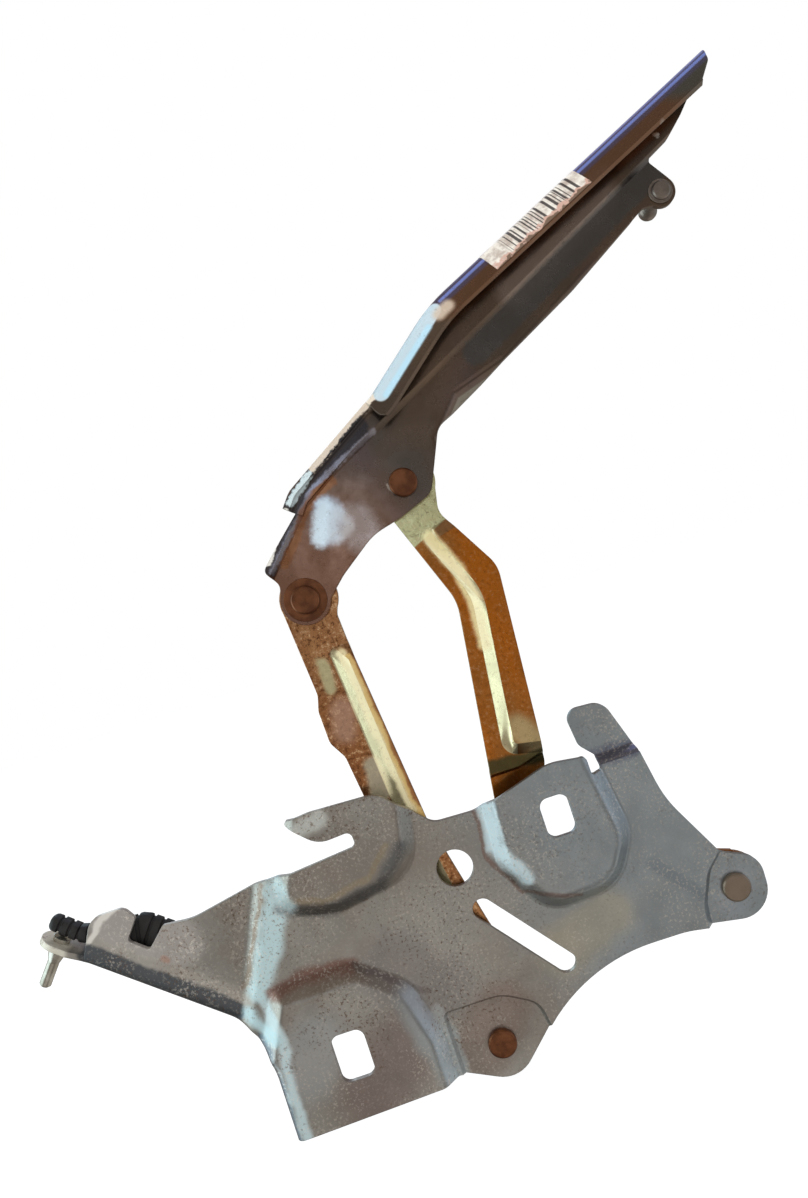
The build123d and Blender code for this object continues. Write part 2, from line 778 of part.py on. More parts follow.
# Ribbed rubber buffer: a foot on the tongue and a body behind the notch of the tail
buffer_front = tail_setback + bracket_sheet + running_gap
buffer_back = 18.0
buffer_foot_diameter = 12.0
buffer_foot_height = 14.0
groove_depth = 1.3
groove_width = 1.8
groove_pitch = 5.2
groove_count = 8
groove_first = (-199.0, 30.0)
buffer_outline = [
    (-213, 29, 5.5),
    (-204, 41, 5.5),
    (-186, 30, 12),
    (-161, 25.8, 12),
    (-147, 16.5, 5),
    (-145.5, 6, 4),
    (-155, 2, 4),
    (-190, 18, 20),
    (-201, 25.5, 4),
]
groove_run = Vector(buffer_outline[4][0] - groove_first[0], 0, 10 - groove_first[1]).normalized()
with BuildPart() as buffer_ribs:
    with BuildSketch(side(buffer_back)):
        with BuildLine():
            rounded(buffer_outline)
        make_face()
    extrude(amount=buffer_back - buffer_front)
    for count in range(groove_count):
        middle = Vector(groove_first[0], (buffer_front + buffer_back) / 2, groove_first[1])
        middle = middle + groove_run * (count * groove_pitch)
        with BuildSketch(Plane(origin=middle, x_dir=(0, 1, 0), z_dir=groove_run)):
            Rectangle(40, 40)
        extrude(amount=groove_width / 2, both=True, mode=Mode.SUBTRACT)
with BuildPart() as buffer:
    with BuildSketch(side(buffer_back - groove_depth)):
        with BuildLine():
            rounded(buffer_outline)
        make_face()
        offset(amount=-groove_depth)
    extrude(amount=buffer_back - buffer_front - 2 * groove_depth)
    add(buffer_ribs.part)
    with BuildSketch(flange_plane.offset(-bracket_sheet)):
        with Locations(pin_place):
            Circle(buffer_foot_diameter / 2)
    extrude(amount=-buffer_foot_height)
    with BuildSketch(flange_plane.offset(-bracket_sheet)):
        with Locations(pin_place):
            Circle(pin_head_diameter / 2 + press_clearance)
    extrude(amount=-pin_head_height - press_clearance, mode=Mode.SUBTRACT)
buffer.part.label = "buffer"
export_step(buffer.part, "parts/buffer.step")

# Plain label stuck round the bend of the flange, from just short of its free edge
label_thickness = 0.25
label_start = 35.0
label_length = 62.5
label_back = -1.0
label_margin = 0.3
with BuildPart() as part_label:
    label_corner = Vector(bend_line[3][0], 0, bend_line[3][1]) + outer_run * label_start
    with BuildSketch(Plane(origin=label_corner, x_dir=(0, 1, 0), z_dir=outer_run)):
        foot, corner, edge = flange_side(outer_radius)
        slope = Vector(corner[0] - edge[0], corner[1] - edge[1]).normalized()
        across = Vector(-slope.Y, slope.X)
        end = Vector(*edge) + slope * label_margin
        with BuildLine():
            FilletPolyline(foot, corner, edge, (-5, -20), radius=[0, outer_radius, 0, 0], close=True)
        body = make_face()
        offset(amount=label_thickness)
        add(body, mode=Mode.SUBTRACT)
        with BuildLine():
            Polyline(end - across * 2, end + across * 3, (-20, 8), (label_back, 8), (label_back, -3), close=True)
        make_face(mode=Mode.INTERSECT)
    extrude(amount=label_length)
part_label.part.label = "part_label"
export_step(part_label.part, "parts/part_label.step")
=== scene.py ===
import json
from math import cos, pi, radians, sin

import bpy
from mathutils import Matrix, Vector


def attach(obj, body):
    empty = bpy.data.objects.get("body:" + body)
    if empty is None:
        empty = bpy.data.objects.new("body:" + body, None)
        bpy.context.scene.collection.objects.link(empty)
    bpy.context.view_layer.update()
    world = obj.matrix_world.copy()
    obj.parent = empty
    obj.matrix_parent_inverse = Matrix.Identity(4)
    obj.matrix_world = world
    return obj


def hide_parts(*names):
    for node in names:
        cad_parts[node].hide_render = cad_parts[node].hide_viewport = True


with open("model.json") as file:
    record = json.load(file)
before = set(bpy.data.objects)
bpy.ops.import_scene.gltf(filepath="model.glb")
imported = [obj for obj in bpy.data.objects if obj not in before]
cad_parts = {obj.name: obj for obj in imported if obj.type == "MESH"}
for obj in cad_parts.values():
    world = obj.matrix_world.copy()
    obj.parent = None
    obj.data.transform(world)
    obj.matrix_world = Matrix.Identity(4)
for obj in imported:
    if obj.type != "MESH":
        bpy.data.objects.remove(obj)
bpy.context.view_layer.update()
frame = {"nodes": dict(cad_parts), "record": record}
scene = bpy.context.scene
scene.view_settings.view_transform = "Standard"

MM_PER_M = 1000


def srgb(red, green, blue):
    """Linear colour from 8-bit display values."""
    linear = []
    for value in (red, green, blue):
        share = value / 255
        linear.append(share / 12.92 if share <= 0.04045 else ((share + 0.055) / 1.055) ** 2.4)
    return (*linear, 1.0)


# Camera: on the bolting side, turned so that the hinge leans as in the photo
RIGHT = Vector((0.9483, 0.0, -0.3173))
UP = Vector((0.3173, 0.0, 0.9483))
BACK = Vector((0.0, -1.0, 0.0))
EYE = Vector((0.0185, -0.460, 0.1356))
SENSOR_MM = 36.0
FOCAL_MM = 27.65
NEAREST = 0.01
camera = bpy.data.objects.new("camera", bpy.data.cameras.new("camera"))
scene.collection.objects.link(camera)
camera.data.sensor_fit = "AUTO"
camera.data.sensor_width = SENSOR_MM
camera.data.lens = FOCAL_MM
camera.data.clip_start = NEAREST
camera.matrix_world = Matrix.Translation(EYE) @ Matrix((RIGHT, UP, BACK)).transposed().to_4x4()
scene.camera = camera


# Shader helpers
class Tree:
    """A material's or the world's node tree, with short ways to add and join nodes."""

    def __init__(self, owner):
        owner.use_nodes = True
        self.tree = owner.node_tree
        self.nodes = self.tree.nodes
        self.nodes.clear()

    def add(self, kind, **values):
        node = self.nodes.new(kind)
        for key, value in values.items():
            setattr(node, key, value)
        return node

    def join(self, source, target):
        self.tree.links.new(source, target)

    def feed(self, socket, value):
        """Joins a socket to another, or sets its value."""
        if isinstance(value, bpy.types.NodeSocket):
            self.join(value, socket)
        else:
            socket.default_value = value

    def noise(self, where, scale, detail=3.0, rough=0.5, stretch=None):
        if stretch is not None:
            mapping = self.add("ShaderNodeMapping")
            mapping.inputs["Scale"].default_value = stretch
            self.join(where, mapping.inputs["Vector"])
            where = mapping.outputs["Vector"]
        node = self.add("ShaderNodeTexNoise")
        node.inputs["Scale"].default_value = scale
        node.inputs["Detail"].default_value = detail
        node.inputs["Roughness"].default_value = rough
        self.join(where, node.inputs["Vector"])
        return node.outputs["Fac"]

    def band(self, value, low, high, start=0.0, end=1.0, smooth=True):
        """Start below low, end above high, and a smooth or straight ramp between."""
        node = self.add("ShaderNodeMapRange")
        node.interpolation_type = "SMOOTHSTEP" if smooth else "LINEAR"
        self.feed(node.inputs["Value"], value)
        node.inputs["From Min"].default_value = low
        node.inputs["From Max"].default_value = high
        node.inputs["To Min"].default_value = start
        node.inputs["To Max"].default_value = end
        return node.outputs["Result"]

    def math(self, how, first, second=0.0):
        node = self.add("ShaderNodeMath", operation=how)
        self.feed(node.inputs[0], first)
        self.feed(node.inputs[1], second)
        return node.outputs["Value"]

    def vector(self, how, first, second, result="Vector"):
        node = self.add("ShaderNodeVectorMath", operation=how)
        self.feed(node.inputs[0], first)
        self.feed(node.inputs[1], second)
        return node.outputs[result]

    def dot(self, where, direction):
        return self.vector("DOT_PRODUCT", where, direction, "Value")

    def distance(self, where, other):
        return self.vector("DISTANCE", where, other, "Value")

    def mix(self, share, first, second, blend="MIX"):
        node = self.add("ShaderNodeMix", data_type="RGBA", blend_type=blend)
        color_sockets = [socket for socket in node.inputs if socket.type == "RGBA"]
        self.feed(node.inputs["Factor"], share)
        self.feed(color_sockets[0], first)
        self.feed(color_sockets[1], second)
        return next(socket for socket in node.outputs if socket.type == "RGBA")

    def cloud(self, value, first, second, low=0.35, high=0.65):
        """Blotches of two colours from a noise value."""
        return self.mix(self.band(value, low, high), first, second)

    def over(self, base, color, amount, *factors):
        """Base with a colour mixed over it, by an amount times any further factors."""
        for factor in factors:
            amount = self.math("MULTIPLY", amount, factor)
        return self.mix(amount, base, color)


def cloudy_rough(tree, where, low, high, scale):
    return tree.band(tree.noise(where, scale, 5.0, 0.6), 0.35, 0.65, low, high)


def skin_height(tree, where, fine, fine_height, broad, broad_height):
    """Bump height in metres: orange peel and a broader ripple."""
    peel = tree.math("MULTIPLY", tree.noise(where, fine, 2.0), fine_height)
    ripple = tree.math("MULTIPLY", tree.noise(where, broad, 2.0), broad_height)
    return tree.math("ADD", peel, ripple)


def surface(name, color, rough, skin, metallic=0.0, edge=0.0006):
    """Principled material; its colour may come with a mask of painted highlights and reflections that isn't
    metal.
    """
    material = bpy.data.materials.new(name)
    tree = Tree(material)
    where = tree.add("ShaderNodeTexCoord").outputs["Object"]
    shader = tree.add("ShaderNodeBsdfPrincipled")
    output = tree.add("ShaderNodeOutputMaterial")
    tree.join(shader.outputs["BSDF"], output.inputs["Surface"])
    shown = color(tree, where)
    if isinstance(shown, tuple):
        shown, painted_highlight = shown
        # Where pale highlights and reflections are painted, the surface turns from metal to plain paint
        metallic = tree.band(painted_highlight, 0.0, 1.0, metallic, 0.0, smooth=False)
    tree.feed(shader.inputs["Base Color"], shown)
    tree.feed(shader.inputs["Metallic"], metallic)
    tree.feed(shader.inputs["Roughness"], cloudy_rough(tree, where, *rough))
    bevel = tree.add("ShaderNodeBevel", samples=6)
    bevel.inputs["Radius"].default_value = edge
    relief = tree.add("ShaderNodeBump")
    relief.inputs["Strength"].default_value = 1.0
    relief.inputs["Distance"].default_value = 1.0
    tree.join(skin_height(tree, where, *skin), relief.inputs["Height"])
    tree.join(bevel.outputs["Normal"], relief.inputs["Normal"])
    tree.join(relief.outputs["Normal"], shader.inputs["Normal"])
    return material


def near(tree, where, point, inner, outer):
    """One close to a point given in millimetres, falling to nothing at the outer distance."""
    spot = tuple(value / MM_PER_M for value in point)
    return tree.band(tree.distance(where, spot), inner / MM_PER_M, outer / MM_PER_M, 1.0, 0.0)


def facing(tree, direction, low, high):
    """One where the surface faces a direction of the object's own frame."""
    geometry = tree.add("ShaderNodeNewGeometry")
    turned = tree.add("ShaderNodeVectorTransform", vector_type="NORMAL")
    turned.convert_from = "WORLD"
    turned.convert_to = "OBJECT"
    tree.join(geometry.outputs["Normal"], turned.inputs["Vector"])
    return tree.band(tree.dot(turned.outputs["Vector"], direction), low, high)


# Painted light: highlights, reflections and shade painted as colour along lines
# How much red, green and blue each painted sheet sends back from a face that looks at the camera
BRACKET_LIGHT = (0.487, 0.456, 0.43)
ARM_LIGHT = (0.36, 0.33, 0.31)
LINK_LIGHT = (0.52, 0.49, 0.47)
BRIGHTEST = 0.95


def seen(light, red, green, blue):
    """Base colour that shows as the given display colour on a face that looks at the camera."""
    wanted = srgb(red, green, blue)
    return (*(min(wanted[axis] / light[axis], BRIGHTEST) for axis in range(3)), 1.0)


def flatten(tree, where):
    """Point dropped on the web's plane."""
    return tree.vector("MULTIPLY", where, (1.0, 0.0, 1.0))


def ragged(tree, where, scale, reach):
    """Point dropped on the web's plane and shaken by noise, so that painted edges wander."""
    shake = tree.add("ShaderNodeTexNoise")
    shake.inputs["Scale"].default_value = scale
    shake.inputs["Detail"].default_value = 4.0
    tree.join(where, shake.inputs["Vector"])
    offset = tree.vector("SUBTRACT", shake.outputs["Color"], (0.5, 0.5, 0.5))
    offset = tree.vector("MULTIPLY", offset, (reach, reach, reach))
    return flatten(tree, tree.vector("ADD", where, offset))


def line_distance(tree, flat, points):
    """Distance in metres to a line through points given as x and z in millimetres."""
    nearest = None
    for start, end in zip(points, points[1:]):
        run = ((end[0] - start[0]) / MM_PER_M, 0.0, (end[1] - start[1]) / MM_PER_M)
        length_squared = run[0] ** 2 + run[2] ** 2
        offset = tree.vector("SUBTRACT", flat, (start[0] / MM_PER_M, 0.0, start[1] / MM_PER_M))
        along = tree.dot(offset, tuple(step / length_squared for step in run))
        share = tree.band(along, 0.0, 1.0, smooth=False)
        foot = tree.add("ShaderNodeVectorMath", operation="SCALE")
        foot.inputs[0].default_value = run
        tree.join(share, foot.inputs["Scale"])
        distance = tree.distance(offset, foot.outputs["Vector"])
        nearest = distance if nearest is None else tree.math("MINIMUM", nearest, distance)
    return nearest


def paint(tree, flat, base, light, marks, within=None):
    """Base colour with marks of painted light on it, and how much of each place is a pale painted highlight,
    not metal.
    """
    painted_highlight = None
    for points, inner, outer, shown, strength, pale in marks:
        amount = line_distance(tree, flat, points)
        amount = tree.band(amount, inner / MM_PER_M, outer / MM_PER_M, strength, 0.0)
        if within is not None:
            amount = tree.math("MULTIPLY", amount, within)
        base = tree.mix(amount, base, srgb(*shown) if pale else seen(light, *shown))
        if pale:
            painted_highlight = amount if painted_highlight is None else tree.math("MAXIMUM", painted_highlight, amount)
    return base, painted_highlight


# Each mark: line through x and z in millimetres, inner and outer reach in millimetres, display colour,
# strength, and whether it is a pale painted highlight that isn't metal; most marks are painted highlights,
# reflections and shade
# Painted light on the tail: pale painted highlights and reflections, and a dark painted band of shade along its
# lower edge
TAIL_MARKS = [
    (((-172, 26), (-146, 8)), 8, 17, (158, 152, 148), 0.75, True),
    (((-190, 21), (-124, -29.5)), 3, 9, (176, 168, 158), 0.4, True),
    (((-186.5, 22), (-177.5, 31.5), (-168, 34.5)), 0.8, 2.6, (226, 222, 216), 0.85, True),
    (((-212, 29), (-203, 20)), 1.5, 5, (224, 220, 204), 0.75, True),
    (((-190, 15.2), (-129, -34)), 5, 7.5, (50, 53, 57), 0.9, False),
    (((-153.4, 2), (-151.8, 1.2)), 0.7, 2.2, (122, 82, 64), 0.5, False),
]
# Painted light on the bracket's web: pale cyan painted reflections and highlights on walls and bends, dark
# painted shade along creases and edges, and broad tinted patches
WEB_MARKS = [
    (((-102, -69), (-92, -60)), 8, 26, (138, 137, 135), 0.7, False),
    (((-70, -92), (-52, -72)), 8, 28, (104, 90, 85), 0.7, False),
    (((-117.5, -50), (-116.4, -77), (-116.5, -101)), 1.5, 4, (68, 74, 82), 0.8, False),
    (((-114, -25.7), (-108, -51.8), (-110.7, -79), (-110.7, -103)), 0.8, 4.2, (188, 210, 216), 0.85, True),
    (((-121, -37), (-112, -51)), 1, 5.5, (182, 214, 222), 0.85, True),
    (((-88, 18), (-98, -5), (-112, -27)), 3, 8.5, (184, 212, 218), 0.9, True),
    (((-94.2, 21.8), (-105.6, -0.4), (-120.2, -23.6)), 0.4, 2, (104, 82, 66), 0.6, False),
    (((-106.4, -30.6), (-88, -26.8), (-63.2, -29.4)), 1, 5, (98, 70, 60), 0.85, False),
    (((-63.2, -29.4), (-32.8, -53.8)), 0.5, 2.2, (78, 66, 60), 0.7, False),
    (((-42.9, -52.6), (-40.5, -69.4), (-33.4, -95.7)), 2, 10, (130, 137, 138), 0.65, False),
    (((-88.8, 8), (-67.2, 0.7), (-37.7, 4.9), (-22.6, 19.9)), 1, 6, (74, 74, 74), 0.75, False),
    (((-85, 13), (-66, 7), (-42, 11), (-29, 24)), 0.6, 2.6, (132, 114, 84), 0.4, False),
    (((-88, 17), (-84, 9)), 2, 7, (178, 198, 202), 0.8, True),
    (((-76, 42), (-56, 46)), 2, 7, (178, 182, 178), 0.75, True),
    (((23.1, 24.7), (22.5, 4.8), (32.1, -14.4)), 1.8, 6, (192, 214, 222), 0.85, True),
    (((17.5, 25), (17, 0), (28, -22), (55, -31)), 0.4, 1.8, (96, 70, 60), 0.6, False),
    (((95.1, -29.8), (113.1, -52.4)), 1.5, 5, (98, 103, 108), 0.5, False),
    (((131.3, -53.6), (128, -62)), 6, 12, (128, 131, 134), 0.8, False),
    (((0, -75), (-15, -90)), 10, 20, (112, 97, 89), 0.7, False),
    (((-31.1, -65.5), (-28.8, -82.3), (-28.2, -98.6)), 1.5, 5, (150, 166, 170), 0.6, True),
    (((82.7, 28.8), (102.5, 28.2)), 2, 6, (72, 74, 92), 0.6, False),
    (((38, -56.5), (65.7, -45.7)), 6, 18, (142, 133, 115), 0.6, False),
    (((-25.7, -55.2), (-45, -36)), 8, 24, (103, 95, 93), 0.5, False),
]


def bracket_color(tree, where):
    """Zinc-coated sheet, browner towards the tail, with painted highlights, reflections and shade, rust specks
    and pale flecks.
    """
    cloud = tree.noise(where, 14, 5.0, 0.6)
    tail = tree.cloud(cloud, seen(BRACKET_LIGHT, 112, 104, 96), seen(BRACKET_LIGHT, 130, 125, 118))
    ears = tree.cloud(cloud, seen(BRACKET_LIGHT, 112, 114, 114), seen(BRACKET_LIGHT, 120, 124, 125))
    side = tree.band(tree.dot(where, (1.0, 0.0, 0.25)), -0.01, 0.06)
    base = tree.mix(side, tail, ears)
    # Painted reflection: browner on the pressed walls that look up, as they mirror the warm room above
    upward = facing(tree, (0.1, -0.5, 0.86), 0.62, 0.9)
    base = tree.over(base, srgb(138, 116, 98), upward, 0.6)
    flat = ragged(tree, where, 90, 0.006)
    base, painted_highlight = paint(tree, flat, base, BRACKET_LIGHT, TAIL_MARKS + WEB_MARKS)
    # Rust specks in drifts, with fewer of them away from the tail
    speck = tree.band(tree.noise(where, 620, 4.0, 0.7), 0.54, 0.64)
    drift = tree.band(tree.noise(where, 26, 3.0), 0.38, 0.62)
    fewer = tree.band(side, 0.0, 1.0, 0.75, 0.35)
    base = tree.over(base, srgb(104, 78, 60), speck, drift, fewer)
    # Pale flecks in patches
    fleck = tree.band(tree.noise(where, 700, 2.0, 0.7), 0.52, 0.66)
    patchy = tree.band(tree.noise(where, 34, 3.0), 0.40, 0.60, 0.15, 0.6)
    return tree.over(base, srgb(218, 212, 204), fleck, patchy), painted_highlight


# Painted light on the arm's web: a pale painted gloss patch with its halo, pale painted highlights along the
# heel, crease and bend edges, dark painted shade bands, painted shadow crescents by the pivot heads and a
# painted glint at a small hole
ARM_MARKS = [
    (((120, 266), (175, 296)), 4, 13, (104, 90, 82), 0.55, False),
    (((24.7, 224), (-3.2, 208.7), (-17.7, 198.1), (-29.5, 184.7), (-41, 172.1)),
     3.5, 5.5, (40, 37, 38), 0.9, False),
    (((30.7, 220.2), (7.2, 209.8), (-8.1, 202.2), (-22.4, 186.9), (-40.2, 169.1)),
     0.6, 2.0, (100, 94, 98), 0.8, False),
    (((3, 203.3), (-7.4, 199.4), (-16.5, 191.5), (-23.7, 181.1), (-33, 171)),
     1.4, 3.2, (86, 52, 30), 0.85, False),
    (((-6, 182), (8, 180), (10, 172)), 5, 13, (132, 118, 112), 0.5, False),
    (((-3, 189), (-7, 181)), 2.5, 9.5, (190, 206, 220), 0.85, True),
    (((-5, 193), (-9, 185.5), (-12, 177.5)), 1.5, 6.5, (208, 228, 242), 0.9, True),
    (((2, 186), (4, 179), (-4, 175)), 0.5, 5, (196, 206, 212), 0.45, True),
    (((36.7, 235), (21.9, 228.2), (6.9, 218.2), (-4.4, 211)), 1.2, 2.3, (224, 210, 194), 0.95, True),
    (((-6.8, 209.2), (-14.1, 203.5), (-20.2, 198.6)), 1.2, 2.3, (214, 232, 238), 0.95, True),
    (((-23.5, 195.4), (-33.1, 184), (-40.5, 174)), 1.2, 2.3, (232, 230, 224), 0.95, True),
    (((92, 242), (205, 300)), 5, 8, (56, 55, 54), 0.7, False),
    (((211.2, 316), (212, 315.4)), 0.6, 1.7, (206, 206, 200), 0.85, True),
    (((32, 187), (35.6, 185.6), (40, 187.2)), 0.6, 2.2, (26, 22, 22), 0.85, False),
    (((29, 192.5), (30.4, 188.6)), 0.3, 1.4, (150, 140, 132), 0.7, True),
    (((-32.5, 143.2), (-28, 141.8), (-23.5, 143.2)), 0.6, 2.0, (30, 24, 22), 0.8, False),
]
# Painted reflection: pale on the lip behind the web
LIP_MARKS = [
    (((62, 203), (86, 228), (100, 242)), 4, 9, (146, 141, 128), 0.8, True),
]
# Painted light on the flange: a thin blue painted highlight along its bend with a dark painted shadow line
# beside it, pale cyan painted reflections on its low end, and brown and dark bands on its face
FLANGE_MARKS = [
    (((82, 266), (248, 341)), 7, 10, (78, 52, 35), 0.85, False),
    (((228, 336), (250, 346)), 8, 18, (56, 57, 53), 0.8, False),
    (((81.5, 269), (251, 346.5)), 2.4, 4.4, (66, 60, 78), 0.8, False),
    (((81.6, 268.8), (251.1, 346.1)), 0.3, 1.4, (104, 124, 194), 0.8, True),
    (((40, 234.5), (77, 265.2)), 3.4, 4.6, (186, 206, 218), 0.95, True),
    (((42, 233), (72, 257.6)), 0.6, 2.6, (170, 214, 236), 0.7, True),
    (((79, 262), (84, 264.6)), 1.5, 5, (198, 180, 162), 0.85, True),
]
FLANGE_FRONT = (0.0005, 0.0020)
LIP_BACK = (0.0065, 0.0080)


def arm_color(tree, where):
    """Dark brown gloss, with painted highlights, reflections and shade on the web, the flange in front of it
    and the lip behind it.
    """
    cloud = tree.noise(where, 9, 4.0, 0.55)
    base = tree.cloud(cloud, seen(ARM_LIGHT, 54, 47, 42), seen(ARM_LIGHT, 72, 57, 46))
    # A violet tinge in places, and a redder heel round the upper front pivot
    violet = tree.band(tree.noise(where, 16, 2.0), 0.5, 0.68)
    base = tree.over(base, seen(ARM_LIGHT, 70, 58, 62), violet, 0.5)
    heel = near(tree, where, (-14, 3, 160), 20, 70)
    base = tree.over(base, srgb(138, 98, 76), heel, 0.8)
    flat = ragged(tree, where, 420, 0.003)
    base, painted_highlight = paint(tree, flat, base, ARM_LIGHT, ARM_MARKS)
    # The flange stands in front of the web and the lip behind it; each gets its own painted highlights,
    # reflections and shade
    depth = tree.dot(where, (0.0, 1.0, 0.0))
    front = tree.band(depth, *FLANGE_FRONT, 1.0, 0.0)
    base, flange = paint(tree, flatten(tree, where), base, ARM_LIGHT, FLANGE_MARKS, front)
    back = tree.band(depth, *LIP_BACK)
    base, lip = paint(tree, flat, base, ARM_LIGHT, LIP_MARKS, back)
    painted_highlight = tree.math("MAXIMUM", tree.math("MAXIMUM", painted_highlight, flange), lip)
    speck = tree.band(tree.noise(where, 500, 3.0, 0.7), 0.6, 0.7)
    return tree.over(base, srgb(60, 46, 40), speck, 0.3), painted_highlight


# Painted light on the links: cream painted highlights along the ribs, pale painted reflections on flat faces, a
# pinkish painted sheen on the front link's wrinkles, and dark painted shade along a rib edge and the rear
# link's joggle
LINK_MARKS = [
    (((-31, 82), (-29, 92)), 3, 10, (158, 126, 108), 0.65, True),
    (((-31.5, 118), (-31, 104)), 1.4, 4.6, (162, 160, 122), 0.8, True),
    (((-24, 46), (-23, 60)), 3.4, 7, (152, 150, 130), 0.8, True),
    (((-20.5, 119), (-18.3, 110.7), (-12.3, 44.6), (-9.8, 28)), 1.6, 4.4, (222, 210, 166), 0.85, True),
    (((-17.3, 117), (-15.6, 110.7), (-9.6, 44.6), (-7, 28)), 0.8, 2.6, (206, 172, 100), 0.8, True),
    (((41, 161), (45.3, 149.5), (49.9, 138.9), (52.1, 123.7), (50.1, 101.6)),
     2, 5.2, (228, 218, 166), 0.85, True),
    (((-13.5, 118), (-6.5, 35)), 1.4, 2.8, (98, 54, 24), 0.85, False),
    (((51.8, 56), (59.1, 45.9)), 3, 10, (154, 137, 100), 0.8, False),
    (((32.9, 40.5), (60, 38)), 2.4, 5, (52, 52, 32), 0.9, False),
]
REAR_LINK_START = (0.004, 0.010)
REAR_LINK_UP = (-0.412, 0.0, 0.911)
REAR_LINK_TOP_REFLECTION = (0.1310, 0.1318)


def link_color(tree, where):
    """Bronze lacquer: coarse grain on the front link, smoother orange on the rear link with a painted
    reflection as its pale top.
    """
    cloud = tree.noise(where, 22, 4.0, 0.6, stretch=(1.0, 1.0, 0.35))
    front = tree.cloud(cloud, seen(LINK_LIGHT, 118, 76, 46), seen(LINK_LIGHT, 146, 104, 68), high=0.62)
    rear = tree.cloud(cloud, seen(LINK_LIGHT, 142, 78, 20), seen(LINK_LIGHT, 122, 76, 34), high=0.62)
    behind = tree.band(tree.dot(where, (1.0, 0.0, 0.0)), *REAR_LINK_START)
    base = tree.mix(behind, front, rear)
    # Painted reflection: pale top of the rear link, where its flat face mirrors the window
    painted_top_reflection = tree.band(tree.dot(where, REAR_LINK_UP), *REAR_LINK_TOP_REFLECTION)
    base = tree.over(base, seen(LINK_LIGHT, 164, 158, 118), painted_top_reflection, behind)
    # Dark and pale grain, stronger on the front link
    grain = tree.noise(where, 480, 3.0, 0.75)
    more = tree.band(behind, 0.0, 1.0, 0.8, 0.25)
    base = tree.over(base, srgb(104, 62, 36), tree.band(grain, 0.54, 0.64), more)
    base = tree.over(base, srgb(226, 186, 144), tree.band(grain, 0.46, 0.36), more)
    base, painted_highlight = paint(tree, ragged(tree, where, 110, 0.004), base, LINK_LIGHT, LINK_MARKS)
    # Painted highlight: cream on the walls of the ribs where they look to the rear
    base = tree.over(base, srgb(238, 226, 184), facing(tree, (-1.0, -0.1, 0.0), 0.16, 0.3))
    return tree.over(base, srgb(120, 78, 44), tree.band(grain, 0.56, 0.68, 0.0, 0.25)), painted_highlight


def rivet_color(tree, where):
    """Rusty brown heads, with the lower rear one bare and grey."""
    cloud = tree.noise(where, 130, 4.0, 0.6)
    base = tree.cloud(cloud, srgb(96, 58, 38), srgb(128, 82, 54))
    return tree.over(base, srgb(140, 126, 112), near(tree, where, (131.6, -4, -55.6), 14, 20))


def plain(low, high, scale):
    """Colour function of soft blotches between two colours."""
    def color(tree, where):
        return tree.cloud(tree.noise(where, scale, 4.0, 0.6), srgb(*low), srgb(*high))
    return color


# Label: along the flange's bend and down its face, in metres
LABEL_RUN = (0.9101, 0.0, 0.4144)
BAR_SCALE = 620.0
BARS_START = (0.2260, 0.2270)
BARS_END = (0.2725, 0.2735)
ROW_GAP_LOW = (-0.0064, -0.0061)
ROW_GAP_HIGH = (-0.0056, -0.0053)
FRAY = 0.0008
GLUE_EDGE = (-0.0128, -0.0122)
TORN_EDGE = (-0.0136, -0.0132)


def label_color(tree, where):
    """Off-white paper with two rows of plain dark bars across the bend, smudges and a frayed lower edge."""
    along = tree.dot(where, LABEL_RUN)
    depth = tree.dot(where, (0.0, 1.0, 0.0))
    bars = tree.add("ShaderNodeTexNoise", noise_dimensions="1D")
    bars.inputs["Scale"].default_value = BAR_SCALE
    bars.inputs["Detail"].default_value = 1.0
    tree.join(along, bars.inputs["W"])
    dark = tree.band(bars.outputs["Fac"], 0.50, 0.54)
    inside = tree.math("MULTIPLY", tree.band(along, *BARS_START), tree.band(along, *BARS_END, 1.0, 0.0))
    rows = tree.math("ADD", tree.band(depth, *ROW_GAP_LOW, 1.0, 0.0), tree.band(depth, *ROW_GAP_HIGH))
    dark = tree.math("MULTIPLY", dark, inside)
    smudge = tree.band(tree.noise(where, 160, 4.0, 0.7), 0.42, 0.68)
    paper = tree.mix(smudge, srgb(226, 220, 212), srgb(178, 164, 154))
    shown = tree.over(paper, srgb(42, 34, 36), dark, tree.math("MINIMUM", rows, 1.0), 0.92)
    frayed = tree.math("ADD", depth, tree.band(tree.noise(where, 240, 3.0), 0.3, 0.7, -FRAY, FRAY))
    shown = tree.over(shown, srgb(196, 160, 146), tree.band(frayed, *GLUE_EDGE, 1.0, 0.0))
    return tree.over(shown, srgb(110, 88, 72), tree.band(frayed, *TORN_EDGE, 1.0, 0.0))


